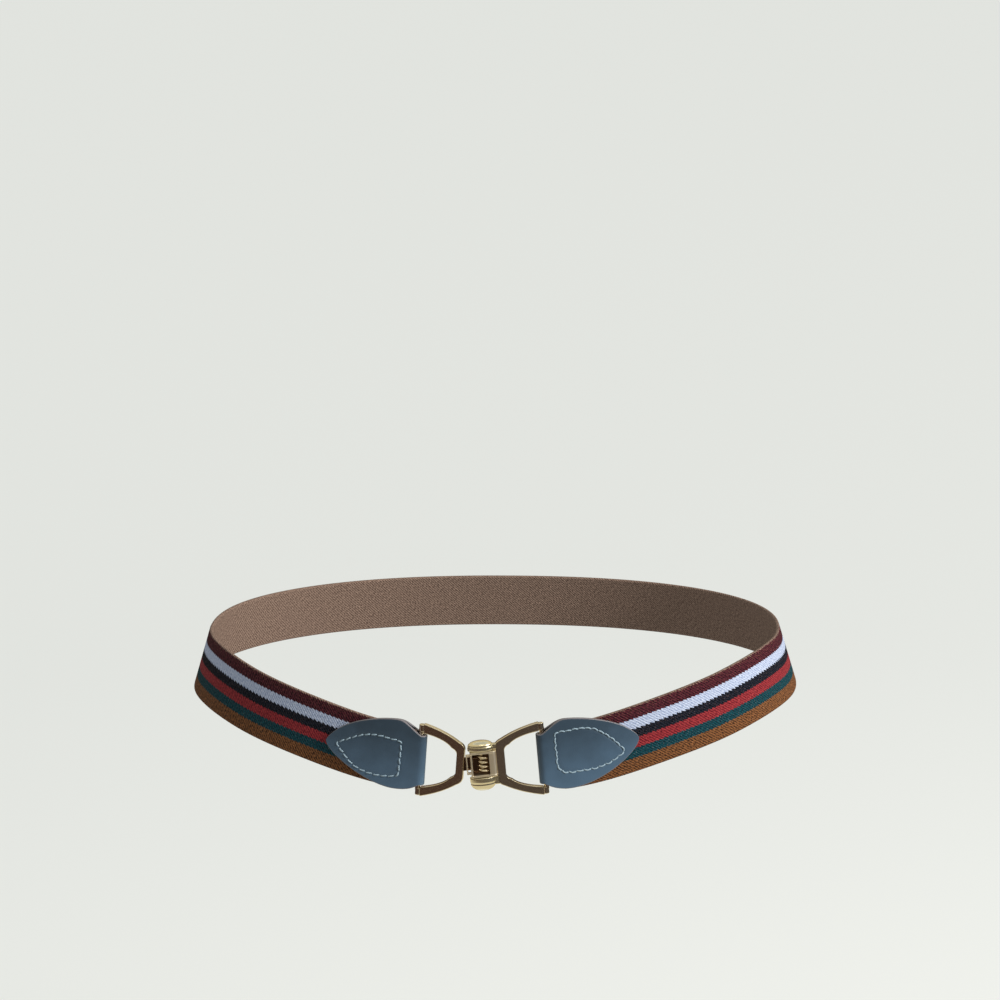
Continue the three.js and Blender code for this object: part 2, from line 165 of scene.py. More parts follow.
def make_piece(name, shells, material, maps=None, marks=None):
    """
    One object made of closed tubes. A shell is rows x columns x 3 points in millimetres, each row closed on
    itself and the end rows capped. maps holds each shell's surface coordinates, rows x (columns + 1) x 2,
    and marks a number for each of its points. Faces are turned to point outwards.
    """
    points, faces, corner_maps = [], [], []
    start = 0
    for number, shell in enumerate(shells):
        rows, columns = shell.shape[:2]
        flat = shell.reshape(-1, 3)
        quads, first_cap, last_cap = tube_faces(rows, columns)
        a, b, c, d = (flat[quads[:, corner]] for corner in range(4))
        volume = np.einsum("ij,ij->", np.cross(a, b), c) + np.einsum("ij,ij->", np.cross(a, c), d)
        for cap in (first_cap, last_cap):
            fan = np.cross(flat[cap[1:-1]], flat[cap[2:]])
            volume += np.einsum("ij,j->", fan, flat[cap[0]])
        turned = -1 if volume < 0 else 1
        faces += (start + quads[:, ::turned]).tolist()
        faces += [(start + cap[::turned]).tolist() for cap in (first_cap, last_cap)]
        if maps is not None:
            grid = maps[number]
            by_quad = np.stack([grid[:-1, :-1], grid[:-1, 1:], grid[1:, 1:], grid[1:, :-1]], 2)
            corner_maps.append(by_quad.reshape(-1, 4, 2)[:, ::turned].reshape(-1, 2))
            corner_maps.append(grid[0, :-1][::-1][::turned])
            corner_maps.append(grid[-1, :-1][::turned])
        points.append(flat)
        start += len(flat)
    mesh = bpy.data.meshes.new(name)
    mesh.from_pydata((np.concatenate(points) * MM).tolist(), [], faces)
    mesh.polygons.foreach_set("use_smooth", np.ones(len(mesh.polygons), bool))
    if maps is not None:
        layer = mesh.uv_layers.new(name="surface")
        layer.data.foreach_set("uv", (np.concatenate(corner_maps) * MM).ravel())
    if marks is not None:
        attribute = mesh.attributes.new("mark", "FLOAT", "POINT")
        attribute.data.foreach_set("value", np.concatenate([mark.ravel() for mark in marks]))
    mesh.materials.append(material)
    piece = bpy.data.objects.new(name, mesh)
    bpy.context.scene.collection.objects.link(piece)
    return piece


class Field:
    """A number of a material, worked out at each point: arithmetic on it adds math nodes to its tree."""

    def __init__(self, tree, socket):
        self.tree = tree
        self.socket = socket

    def via(self, operation, *others, clamp=False):
        node = self.tree.nodes.new("ShaderNodeMath")
        node.operation = operation
        node.use_clamp = clamp
        for slot, value in zip(node.inputs, (self, *others)):
            if isinstance(value, Field):
                self.tree.links.new(value.socket, slot)
            else:
                slot.default_value = value
        return Field(self.tree, node.outputs[0])

    def __add__(self, other):
        return self.via("ADD", other)

    def __sub__(self, other):
        return self.via("SUBTRACT", other)

    def __mul__(self, other):
        return self.via("MULTIPLY", other)

    def wave(self, period):
        """A zigzag from 0 to 1 and back once per period."""
        return self.via("PINGPONG", period / 2) * (2 / period)

    def step(self, level, softness):
        """0 below the level and 1 above it, with a change as wide as the softness."""
        return ((self - level) * (1 / softness) + 0.5).via("ADD", 0.0, clamp=True)


def new_material(name, roughness, metallic=0.0, specular=0.5):
    """A material's tree and its surface shader."""
    material = bpy.data.materials.new(name)
    material.use_nodes = True
    tree = material.node_tree
    shader = next(node for node in tree.nodes if node.type == "BSDF_PRINCIPLED")
    shader.inputs["Roughness"].default_value = roughness
    shader.inputs["Metallic"].default_value = metallic
    shader.inputs["Specular IOR Level"].default_value = specular
    return material, tree, shader


def surface_place(tree):
    """The surface coordinates in millimetres: along the piece and up its width."""
    node = tree.nodes.new("ShaderNodeUVMap")
    node.uv_map = "surface"
    apart = tree.nodes.new("ShaderNodeSeparateXYZ")
    tree.links.new(node.outputs["UV"], apart.inputs[0])
    return Field(tree, apart.outputs["X"]) * 1000, Field(tree, apart.outputs["Y"]) * 1000


def noise(tree, along, across, detail=2.0):
    """Soft random values near 0.5, in cells about 1 wide in the two given fields."""
    place = tree.nodes.new("ShaderNodeCombineXYZ")
    tree.links.new(along.socket, place.inputs["X"])
    tree.links.new(across.socket, place.inputs["Y"])
    node = tree.nodes.new("ShaderNodeTexNoise")
    node.inputs["Scale"].default_value = 1.0
    node.inputs["Detail"].default_value = detail
    tree.links.new(place.outputs[0], node.inputs["Vector"])
    return Field(tree, node.outputs["Fac"])


def colour(red, green, blue):
    """A colour given by its screen values from 0 to 255, as linear light."""
    shown = np.array([red, green, blue]) / 255
    linear = np.where(shown <= 0.04045, shown / 12.92, ((shown + 0.055) / 1.055) ** 2.4)
    return (*linear.tolist(), 1.0)


def mixed(tree, share, first, second):
    """The first colour where the share is 0 and the second where it is 1."""
    node = tree.nodes.new("ShaderNodeMix")
    node.data_type = "RGBA"
    tree.links.new(share.socket, node.inputs["Factor"])
    for slot, value in ((node.inputs[6], first), (node.inputs[7], second)):
        if isinstance(value, tuple):
            slot.default_value = value
        else:
            tree.links.new(value, slot)
    return node.outputs[2]


def add_bump(tree, shader, height, distance, strength=1.0):
    """Relief on the surface: height 1 stands the distance, in metres, above height 0."""
    node = tree.nodes.new("ShaderNodeBump")
    node.inputs["Distance"].default_value = distance
    node.inputs["Strength"].default_value = strength
    tree.links.new(height.socket, node.inputs["Height"])
    tree.links.new(node.outputs[0], shader.inputs["Normal"])


def webbing_material():
    """
    Six stripes across the width, top to bottom, each in its yarn colour and a painted shade for its sunken
    yarns.
    Neighbouring stripes interlock in saw teeth: the border falls slowly and then steps back up. The twill's
    ribs run at 45 degrees, three of them to every two teeth.
    """
    material, tree, shader = new_material("striped_webbing", 0.9, specular=0.08)
    along, up = surface_place(tree)
    saw = (along * (1 / TOOTH_STEP)).via("FRACT")
    across_twill = up + along
    rib = across_twill.wave(RIB_STEP)
    grain = noise(tree, (up - along) * 0.7, across_twill * 1.6)
    fleck = noise(tree, along * 1.3 + 40, across_twill * 1.7)
    glint_noise = noise(tree, along * 2.6 + 15, across_twill * 3.4, 1.0)
    # Painted shade: the sunken yarns between the ribs take darker copies of the stripe colours.
    sunken_shade = (rib * 0.37 + grain * 1.5).step(0.95, 0.46)
    # Each row: the stripe's lower border, the height of its teeth, the colour of its yarns and the painted
    # shade of the sunken ones between them.
    stripes = [
        (7.75, 0.55, colour(82, 32, 42), colour(16, 4, 12)),
        (3.9, 0.8, colour(181, 190, 208), colour(130, 143, 172)),
        (0.35, 0.55, colour(26, 30, 42), colour(2, 4, 10)),
        (-3.5, 0.5, colour(144, 46, 50), colour(80, 14, 26)),
        (-7.2, 0.4, colour(14, 66, 74), colour(2, 28, 38)),
        (-14.0, 0.0, colour(124, 80, 46), colour(40, 24, 16)),
    ]
    plain = (colour(142, 120, 106), colour(84, 66, 58))
    top, shade = plain
    for border, teeth, yarn, sunk_shade in reversed(stripes):
        above = (up + saw * teeth).step(border + teeth / 2, 0.12)
        top = mixed(tree, above, top, yarn)
        shade = mixed(tree, above, shade, sunk_shade)
    tufts = (fleck + up * 0.035).step(1.02, 0.08)
    top = mixed(tree, tufts, top, colour(112, 76, 58))
    shade = mixed(tree, tufts, shade, colour(70, 42, 32))
    inside = (up + fleck * 2.2).step(13.45, 0.35)
    top = mixed(tree, inside, top, plain[0])
    shade = mixed(tree, inside, shade, plain[1])
    woven = mixed(tree, sunken_shade, top, shade)
    # Painted highlight: pale glints where light catches the raised yarns, none on the sunken ones.
    painted_glints = glint_noise.step(0.66, 0.08) * (sunken_shade * -0.24 + 0.24)
    tree.links.new(mixed(tree, painted_glints, woven, colour(206, 160, 140)), shader.inputs["Base Color"])
    add_bump(tree, shader, rib * -0.7 + grain * -0.6, 0.00015)
    return material


total = 2 * (half_length - WEBBING_START)
walked = np.linspace(0, total, WEBBING_ROWS)
from_end = np.minimum(walked, total - walked)
webbing_half = WEBBING_WIDTH / 2 - WEBBING_TUCK * (1 - smooth_rise(from_end, 0, WEBBING_TUCK_LENGTH))
section = rounded_section(
    np.stack([webbing_half, np.full_like(walked, WEBBING_THICKNESS / 2)], -1), WEBBING_EDGE, 4, 13
)
distance = (WEBBING_START + walked)[:, None]
webbing_points = on_band(distance, section[..., 0], section[..., 1])
# The width coordinate runs round the section, 0 in the middle of the face, so the back lies beyond 14.
full_section = section[WEBBING_ROWS // 2]
closed_section = np.concatenate([full_section, full_section[:1]])
round_it = np.append(0, np.cumsum(np.hypot(*np.diff(closed_section, axis=0).T)))
webbing_map = np.stack(np.broadcast_arrays(distance, round_it[-1] / 2 - round_it), -1)
webbing = make_piece("webbing", [webbing_points], webbing_material(), [webbing_map])
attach(webbing, "root")
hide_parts("elastic_webbing")

# Leather tabs.
# Each is one strip of dyed cowhide with burnished edges, folded round the buckle's bar, with a rounded
# point in front and another behind. The band's end is glued and sewn between the two leaves.

CLEARANCE = 0.3
LEATHER_THICKNESS = 1.2
LEATHER_EDGE = 0.35
LEATHER_FOLD_HALF = 9.9
LEATHER_FLARE_AT = 2.0
LEATHER_WIDEST_HALF = 13.9
LEATHER_WIDEST_AT = 12.0
LEATHER_REACH = 27.2
LEATHER_LENGTH = LEATHER_WIDEST_AT + LEATHER_REACH
LEATHER_BACK_SHARE = 0.935
LEATHER_SETTLE = 5.0
LEAF_ROWS = 96
FOLD_ROWS = 16
LEATHER_FLAT_STEPS = 52
# How far each tab's middle stands above the band's in the fold, at its widest place and at its point.
LEATHER_SHIFTS = {-1: (-0.4, 1.0, -1.5), 1: (0.6, 1.7, 0.5)}
BAR_STATION = 24.0
BAR_RADIUS = 1.0
BAR_HALF = 12.4
STITCH_GROOVE = 0.16
STITCH_GROOVE_WIDTH = 0.55

LEAF_DEPTH = WEBBING_THICKNESS / 2 + CLEARANCE + LEATHER_THICKNESS / 2
FOLD_RADIUS = BAR_RADIUS + CLEARANCE + LEATHER_THICKNESS / 2
FOLD_EDGE = BAR_STATION - FOLD_RADIUS - LEATHER_THICKNESS / 2

# The corners of each seam, as distance from the fold and height, and how far each one is rounded.
SEAMS = {
    -1: (
        [(9.7, 6.4), (23.2, 7.3), (35.2, -1.2), (26.5, -8.2), (18.0, -9.2), (9.7, -7.6)],
        [1.2, 6.5, 1.5, 4.0, 4.0, 1.5],
    ),
    1: (
        [(7.4, 10.6), (23.0, 10.6), (30.5, 1.5), (32.6, -2.9), (24.5, -6.2), (9.4, -5.4), (7.4, -2.8)],
        [1.8, 6.5, 2.2, 0.9, 5.0, 1.0, 0.9],
    ),
}


def rounded_outline(corners, radii, steps=6):
    """A closed outline whose corners are replaced by curves that start a radius away along each side."""
    corners = np.array(corners, float)
    radii = np.broadcast_to(radii, len(corners))[:, None, None]
    before = unit(np.roll(corners, 1, 0) - corners)[:, None]
    after = unit(np.roll(corners, -1, 0) - corners)[:, None]
    corners = corners[:, None]
    share = np.linspace(0, 1, steps + 1)[None, :, None]
    start, end = corners + radii * before, corners + radii * after
    bend = (1 - share) ** 2 * start + 2 * share * (1 - share) * corners + share**2 * end
    return np.concatenate([start + 0.04 * before, bend, end + 0.04 * after], 1).reshape(-1, 2)


def seam_path(side):
    """A seam as an even closed line of distance from the fold and height, and its length."""
    line = rounded_outline(*SEAMS[side], 24)
    closed = np.concatenate([line, line[:1]])
    walked = np.append(0, np.cumsum(np.linalg.norm(np.diff(closed, axis=0), axis=-1)))
    even = np.linspace(0, walked[-1], 800, endpoint=False)
    return np.stack([np.interp(even, walked, closed[:, axis]) for axis in (0, 1)], -1), walked[-1]


def leather_half(from_fold):
    """
    Half the tab's width: level in the fold, a quarter sine out to the widest place, then a rounded point,
    widest * (1 - share^1.6)^0.65.
    """
    flare = (from_fold - LEATHER_FLARE_AT) / (LEATHER_WIDEST_AT - LEATHER_FLARE_AT)
    rise = np.sin(np.pi / 2 * np.clip(flare, 0, 1))
    near = LEATHER_FOLD_HALF + (LEATHER_WIDEST_HALF - LEATHER_FOLD_HALF) * rise
    share = np.clip((from_fold - LEATHER_WIDEST_AT) / LEATHER_REACH, 0, 1)
    return np.where(share > 0, LEATHER_WIDEST_HALF * (1 - share**1.6) ** 0.65, near)


def leather_shift(side, from_fold):
    """How far the tab's middle stands above the band's, between the three places of LEATHER_SHIFTS."""
    fold, middle, tip = LEATHER_SHIFTS[side]
    flared = smooth_rise(from_fold, LEATHER_FLARE_AT, LEATHER_WIDEST_AT)
    share = np.clip((from_fold - LEATHER_WIDEST_AT) / LEATHER_REACH, 0, 1)
    return fold + (middle - fold) * flared + (tip - middle) * share**4


def leather_shell(side):
    """
    The strip as a rounded section carried from the front leaf's tip to the bar, half way round it and to
    the back leaf's tip. The seam presses a shallow groove into the outer skins. Returns the rows of points,
    their surface coordinates and a mark that is 1 on the cut edges.
    """
    share = np.cos(np.linspace(0, np.pi / 2, LEAF_ROWS))
    front_at = BAR_STATION + share * (FOLD_EDGE + LEATHER_LENGTH - BAR_STATION)
    settle = smooth_rise(front_at - BAR_STATION, 0, LEATHER_SETTLE)
    front_depth = FOLD_RADIUS + (LEAF_DEPTH - FOLD_RADIUS) * settle
    bend = np.linspace(0, np.pi, FOLD_ROWS + 2)[1:-1]
    at = np.concatenate([front_at, BAR_STATION - FOLD_RADIUS * np.sin(bend), front_at[::-1]])
    depth = np.concatenate([front_depth, FOLD_RADIUS * np.cos(bend), -front_depth[::-1]])
    through_along = np.concatenate([0 * front_at, -np.sin(bend), 0 * front_at])
    through_out = np.concatenate([0 * front_at + 1, np.cos(bend), 0 * front_at - 1])
    from_fold = at - FOLD_EDGE
    behind = np.arange(len(at)) >= LEAF_ROWS + FOLD_ROWS
    flared = smooth_rise(from_fold, LEATHER_FLARE_AT, LEATHER_WIDEST_AT)
    trim = 1 - (1 - LEATHER_BACK_SHARE) * behind * flared
    half = np.maximum(leather_half(from_fold) * trim, LEATHER_EDGE)
    section = rounded_section(
        np.stack([half, np.full_like(half, LEATHER_THICKNESS / 2)], -1), LEATHER_EDGE, 4, LEATHER_FLAT_STEPS
    )
    height, skin = section[..., 0], section[..., 1]
    cut = smooth_rise(np.abs(height), half[:, None] - 0.45, half[:, None] - 0.1)
    height = height + leather_shift(side, from_fold)[:, None]
    seam, _ = seam_path(side)
    spot = np.stack(np.broadcast_arrays(from_fold[:, None], height), -1).reshape(-1, 1, 2)
    stretches = np.array_split(seam[::3], 8)
    away = np.min([np.linalg.norm(spot - stretch, axis=-1).min(1) for stretch in stretches], axis=0)
    groove = STITCH_GROOVE * np.exp(-((away.reshape(height.shape) / STITCH_GROOVE_WIDTH) ** 2))
    outer = skin > LEATHER_THICKNESS / 2 - 0.05
    skin = np.where(outer, skin - groove, skin)
    distance = side * (at[:, None] + skin * through_along[:, None])
    points = on_band(distance, height, depth[:, None] + skin * through_out[:, None])
    strip = np.append(0, np.cumsum(np.hypot(np.diff(at), np.diff(depth))))
    closed_height = np.concatenate([height, height[:, :1]], 1)
    surface = np.stack(np.broadcast_arrays(strip[:, None], closed_height), -1)
    return points, surface, cut


def leather_material():
    """Smooth slate blue leather with a fine grain, a painted sheen that makes it paler lower down, greyer
    cut edges.
    """
    material, tree, shader = new_material("slate_leather", 0.42, specular=0.45)
    along, up = surface_place(tree)
    cloud = noise(tree, along * 0.12, up * 0.12)
    grain = noise(tree, along * 2.4, up * 2.4, 4.0)
    # Random cloudy tone plus a painted sheen: the lower the place on the tab, the paler its colour.
    share = (cloud * 0.6 + 0.2 - up * 0.045).step(0.5, 0.9)
    base = mixed(tree, share, colour(42, 61, 77), colour(66, 91, 113))
    mark = tree.nodes.new("ShaderNodeAttribute")
    mark.attribute_name = "mark"
    edge = Field(tree, mark.outputs["Fac"])
    tree.links.new(mixed(tree, edge, base, colour(112, 108, 112)), shader.inputs["Base Color"])
    add_bump(tree, shader, grain, 0.00004)
    return material


slate_leather = leather_material()
for side, name in ((-1, "left"), (1, "right")):
    points, surface, cut = leather_shell(side)
    tab = make_piece(f"tab_{name}", [points], slate_leather, [surface], [cut])
    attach(tab, "root")
    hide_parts(f"leather_tab_{name}")

# Seams.
# Each tab is sewn through both leaves and the band with one closed line of pale blue waxed thread.
# Every stitch is a short rope of thread, slightly slanted, that dips into its holes at both ends.

STITCH_PITCH = 2.7
THREAD_RADIUS = 0.3
STITCH_ENDS_SUNK = 0.28
STITCH_RISE = 0.42
STITCH_UNEVENNESS = 0.35
# Gap between stitches, how far a stitch slants across the seam and how far it bows out of it.
STITCHES = {-1: (0.6, 0.15, 0.0), 1: (0.2, 0.1, 0.32)}


def wire(path, radius, sides, axis):
    """
    Rows of points round a path that runs nearly square to the axis: each ring stands square to the path,
    and its radius shrinks in a quarter circle over the first and last radius of length.
    """
    along = unit(np.gradient(path, axis=-2))
    beside = unit(np.cross(along, np.array(axis)))
    over = np.cross(beside, along)
    steps = np.linalg.norm(np.diff(path, axis=-2), axis=-1)
    walked = np.concatenate([np.zeros_like(steps[..., :1]), np.cumsum(steps, -1)], -1)
    to_end = np.minimum(walked, walked[..., -1:] - walked) / radius
    around = np.linspace(0, 2 * np.pi, sides, endpoint=False)
    thick = radius * np.sqrt(np.clip(1 - (1 - to_end.clip(0.02, 1)) ** 2, 0, 1))[..., None, None]
    ring = np.cos(around)[:, None] * beside[..., None, :] + np.sin(around)[:, None] * over[..., None, :]
    return path[..., None, :] + thick * ring


def stitches(side, face):
    """The stitches on one leaf, as tubes: face is 1 on the front leaf and -1 on the back one."""
    gap, slant, bow = STITCHES[side]
    seam, length = seam_path(side)
    walked = np.linspace(0, length, 800, endpoint=False)
    count = round(length / STITCH_PITCH)
    pitch = length / count
    share = (1 - np.cos(np.linspace(0, np.pi, 13))) / 2
    place = np.arange(count)[:, None] * pitch + gap / 2 + share * (pitch - gap)
    line = np.stack([np.interp(place, walked, seam[:, axis], period=length) for axis in (0, 1)], -1)
    chord = unit(line[:, -1:] - line[:, :1])
    beside = np.stack([-chord[..., 1], chord[..., 0]], -1)
    uneven = 1 + STITCH_UNEVENNESS * np.sin(np.arange(count) * 2.4)[:, None, None]
    line = line + uneven * ((0.5 - share) * 2 * slant + bow * np.sin(np.pi * share))[:, None] * beside
    rise = STITCH_RISE * np.sin(np.pi * share) ** 0.5 - STITCH_ENDS_SUNK
    skin = LEAF_DEPTH + LEATHER_THICKNESS / 2 - STITCH_GROOVE * 0.7
    path = np.concatenate([line, np.broadcast_to((skin + rise)[:, None], (*line.shape[:2], 1))], -1)
    tubes = wire(path, THREAD_RADIUS, 8, (0, 0, 1.0))
    return list(on_band(side * (FOLD_EDGE + tubes[..., 0]), tubes[..., 1], face * tubes[..., 2]))


thread, _, thread_shader = new_material("blue_thread", 0.7, specular=0.3)
thread_shader.inputs["Base Color"].default_value = colour(132, 152, 164)
for side, name in ((-1, "left"), (1, "right")):
    seam_piece = make_piece(f"seam_{name}", stitches(side, 1) + stitches(side, -1), thread)
    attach(seam_piece, "root")

# Buckle castings.
# Two rings of cast zinc, polished and plated pale gold. Lugs hold each one's bar in the leather's fold. The
# right ring carries two duller, domed hinge knuckles, the left one the tongue and tooth of the catch.

RING_WIDE_HALF = 14.4
RING_ARM_END = 22.6
RING_BOW = 0.9
RING_OUTER_CORNER = 2.4
RING_INNER_CORNER = 2.2
RING_CORNER_SHARE = 0.8
RING_BACK = -1.1
RING_FRONT = 1.2
RING_EDGE = 0.3
RING_END_ROUND = 0.35
# Each ring's narrow end: its distance from the clasp's middle, its half height, its bar's width and the
# arms' width, then how far the ring's middle stands above the band's at this end and at the wide one.
RING_ENDS = {-1: (6.5, 7.5, 3.0, 3.7, 0.0, -0.4), 1: (5.6, 8.4, 3.4, 3.4, 0.7, 0.6)}
LUG_FROM = 21.4
LUG_AT = 23.6
LUG_INNER = 11.3
LUG_OUTER = 14.1
LUG_DEPTHS = (-0.8, 0.5)
EYE_RADIUS = 1.3
TONGUE_REACH = (-7.6, -0.5)
TONGUE_HEIGHTS = (-1.6, 3.6)
TONGUE_BACK = -1.8
TONGUE_FRONT = -0.9
TOOTH_REACH = (-3.3, -1.7)
TOOTH_FRONT = 1.2
# Each knuckle: up or down the width, where its drum starts, where its dome ends and how high the dome is.
KNUCKLES = [(1, 6.3, 10.1, 2.4), (-1, 4.2, 9.6, 3.4)]
KNUCKLE_HALF_WIDTH = 5.0
KNUCKLE_HALF_DEPTH = 3.2
KNUCKLE_ROUNDNESS = 0.75
KNUCKLE_GROOVE = 0.22
KNUCKLE_GROOVE_WIDTH = 0.28
KNUCKLE_GROOVE_AT = 0.35
# The webs that join the knuckles to the ring.
WEB_REACH = (3.4, 6.8)
WEB_HEIGHTS = [(6.3, 8.5), (-4.2, -7.6)]


def in_half(side, points):
    """Points of one straight buckle half: x along the band, y up its width, z out of its face."""
    centre, along, up, out = place_on_loop(np.array(side * 1e-6))
    return centre + points[..., :1] * along + points[..., 1:2] * up + points[..., 2:] * out


def curve(first, corner, last, steps):
    """Points from the first to just before the last, bending towards the corner."""
    share = np.linspace(0, 1, steps, endpoint=False)[:, None]
    first, corner, last = (np.array(point, float) for point in (first, corner, last))
    return (1 - share) ** 2 * first + 2 * share * (1 - share) * corner + share**2 * last


def ring_edges(start, narrow_half, post, arm, low, high):
    """
    Matched points of the ring's outer and inner outline, from the upper arm's end round the narrow bar to
    the lower arm's end: a bowed arm, a corner and half the bar, then their mirror image.
    """
    slope = (RING_WIDE_HALF - narrow_half) / (RING_ARM_END - start)
    middle = (start + RING_ARM_END) / 2
    edges = []
    inner_narrow = narrow_half + slope * post - arm
    for x, y_wide, y_narrow, corner in (
        (start, RING_WIDE_HALF, narrow_half, RING_OUTER_CORNER),
        (start + post, RING_WIDE_HALF - arm, inner_narrow, RING_INNER_CORNER),
    ):
        corner_x = x + corner
        corner_y = y_narrow + slope * corner
        side_y = y_narrow - RING_CORNER_SHARE * corner
        bow_y = (corner_y + y_wide) / 2 + RING_BOW
        upper = np.concatenate([
            curve((RING_ARM_END, y_wide), (middle, bow_y), (corner_x, corner_y), 36),
            curve((corner_x, corner_y), (x, y_narrow), (x, side_y), 16),
            curve((x, side_y), (x, side_y / 2), (x, 0), 8),
        ])
        whole = np.concatenate([upper, [[x, 0]], upper[::-1] * [1, -1]])
        whole[:, 1] += low + (high - low) * (whole[:, 0] - start) / (RING_ARM_END - start)
        edges.append(whole)
    return edges


def ring_shell(side):
    """A rounded section carried between the two outlines, its ends rounded off."""
    outer, inner = ring_edges(*RING_ENDS[side])
    middle = (outer + inner) / 2
    across = unit(outer - inner)
    half = np.linalg.norm(outer - inner, axis=-1) / 2
    round_off = np.radians(np.array([90, 70, 50, 30, 12]))
    narrower = RING_END_ROUND * (1 - np.cos(round_off))
    for end, beyond in ((0, middle[0] - middle[1]), (-1, middle[-1] - middle[-2])):
        extra = middle[end] + RING_END_ROUND * np.sin(round_off)[:, None] * unit(beyond)
        shrunk = half[end] - narrower
        again = np.broadcast_to(across[end], extra.shape)
        at_start = end == 0
        middle = np.concatenate([extra, middle] if at_start else [middle, extra[::-1]])
        half = np.concatenate([shrunk, half] if at_start else [half, shrunk[::-1]])
        across = np.concatenate([again, across] if at_start else [across, again])
    depth_half = np.full_like(half, (RING_FRONT - RING_BACK) / 2)
    depth_half[: len(narrower)] -= narrower
    depth_half[-len(narrower) :] -= narrower[::-1]
    section = rounded_section(np.stack([half, depth_half], -1), RING_EDGE, 5, 2)
    flat = middle[:, None] + section[..., :1] * across[:, None]
    depth = section[..., 1] + (RING_FRONT + RING_BACK) / 2
    return in_half(side, np.stack([side * flat[..., 0], flat[..., 1], depth], -1))


def slab(outline, low, top, bevel):
    """
    A plate with rounded rims: the outline, in x and z, carried up y from low to top. Near each end the
    outline shrinks towards its inside by a quarter circle of the bevel's radius.
    """
    direction = unit(np.roll(outline, -1, 0) - np.roll(outline, 1, 0))
    inward = np.stack([-direction[:, 1], direction[:, 0]], -1)
    area = np.sum(outline[:, 0] * np.roll(outline[:, 1], -1) - np.roll(outline[:, 0], -1) * outline[:, 1])
    inward = inward * np.sign(area)
    bend = np.radians(np.linspace(0, 90, 5))
    inset = bevel * np.concatenate([[1.25], 1 - np.sin(bend), [0]])
    height = low + bevel * np.concatenate([[0], 1 - np.cos(bend), [1.2]])
    inset = np.append(inset, inset[::-1])
    height = np.append(height, (low + top) - height[::-1])
    flat = outline[None] + inset[:, None, None] * inward[None]
    return np.stack([flat[..., 0], np.broadcast_to(height[:, None], flat.shape[:2]), flat[..., 1]], -1)


def box(x, y, z, radius):
    """A box between two places on each axis, with all its edges rounded."""
    corners = [(x[0], z[0]), (x[1], z[0]), (x[1], z[1]), (x[0], z[1])]
    return slab(rounded_outline(corners, radius * 1.3), min(y), max(y), radius)


def rod(x, z, radius, low, top, sides=24):
    """A round rod up the width of the band, with its rims broken."""
    around = np.linspace(0, 2 * np.pi, sides, endpoint=False)
    outline = np.stack([x + radius * np.cos(around), z + radius * np.sin(around)], -1)
    return slab(outline, low, top, radius * 0.2)


def knuckle_shell(up, start, end, dome):
    """
    A flattened drum turned about the width direction, with a shallow groove where it meets its domed end.
    The dome's radius is the drum's times the cosine to a power as its height follows the sine.
    """
    rim = end - dome
    bend = np.radians(np.linspace(0, 90, 22))
    drum = np.linspace(start + 0.25, rim, 7)
    radius = np.concatenate([
        [0.2, KNUCKLE_HALF_WIDTH - 0.3, KNUCKLE_HALF_WIDTH - 0.25, KNUCKLE_HALF_WIDTH - 0.07],
        np.full(7, KNUCKLE_HALF_WIDTH),
        KNUCKLE_HALF_WIDTH * np.cos(bend[1:]).clip(0.0004) ** KNUCKLE_ROUNDNESS,
    ])
    height = np.concatenate([[start, start, start, start + 0.07], drum, rim + dome * np.sin(bend[1:])])
    from_groove = (height - rim - KNUCKLE_GROOVE_AT) / KNUCKLE_GROOVE_WIDTH
    radius = radius - KNUCKLE_GROOVE * np.exp(-(from_groove**2)) * (radius > 1)
    around = np.linspace(0, 2 * np.pi, 64, endpoint=False)
    x = radius[:, None] * np.cos(around)
    z = radius[:, None] * np.sin(around) * KNUCKLE_HALF_DEPTH / KNUCKLE_HALF_WIDTH
    return np.stack(np.broadcast_arrays(x, up * height[:, None], z), -1)


def metal_material(name, base, sunk_shade, roughness):
    """Polished plating with a faint cloudiness in its polish, and painted shade where the mark is 1."""
    material, tree, shader = new_material(name, roughness, metallic=1.0)
    place = tree.nodes.new("ShaderNodeTexCoord")
    cloud = tree.nodes.new("ShaderNodeTexNoise")
    cloud.inputs["Scale"].default_value = 900
    tree.links.new(place.outputs["Object"], cloud.inputs["Vector"])
    value = Field(tree, cloud.outputs["Fac"])
    mark = tree.nodes.new("ShaderNodeAttribute")
    mark.attribute_name = "mark"
    recess_shade = Field(tree, mark.outputs["Fac"])
    tree.links.new(mixed(tree, recess_shade, base, sunk_shade), shader.inputs["Base Color"])
    add_bump(tree, shader, value, 0.000004)
    return material


# Each plating's second colour is the painted shade of its recesses.
gold = metal_material("pale_gold", colour(238, 228, 206), colour(128, 104, 84), 0.12)
worn_gold = metal_material("worn_gold", colour(240, 232, 202), colour(128, 104, 84), 0.22)
satin_gold = metal_material("satin_gold", colour(242, 232, 212), colour(110, 88, 72), 0.34)


def ring_parts(side):
    """The ring, its two lugs with their round eyes, and the bar in the leather's fold."""
    high = RING_ENDS[side][5]
    parts = [rod(side * BAR_STATION, 0, BAR_RADIUS, high - BAR_HALF, high + BAR_HALF)]
    for low in (-LUG_OUTER, LUG_INNER):
        heights = (high + low, high + low + LUG_OUTER - LUG_INNER)
        parts.append(box((side * LUG_FROM, side * LUG_AT), heights, LUG_DEPTHS, 0.4))
        parts.append(rod(side * LUG_AT, 0, EYE_RADIUS, *heights))
    return [ring_shell(side), *(in_half(side, part) for part in parts)]


left_ring = ring_parts(-1)
tongue = [
    in_half(1, box(TONGUE_REACH, TONGUE_HEIGHTS, (TONGUE_BACK, TONGUE_FRONT), 0.15)),
    in_half(1, box(TOOTH_REACH, TONGUE_HEIGHTS, (TONGUE_BACK, TOOTH_FRONT), 0.15)),
]
# Painted shade: the tongue and tooth, set back behind the clip, are drawn darker.
shade_marks = [np.zeros(shell.shape[:2]) for shell in left_ring]
shade_marks += [np.ones(shell.shape[:2]) for shell in tongue]
left_casting = make_piece("casting_left", left_ring + tongue, gold, marks=shade_marks)
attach(left_casting, "root")
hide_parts("buckle_frame_left")

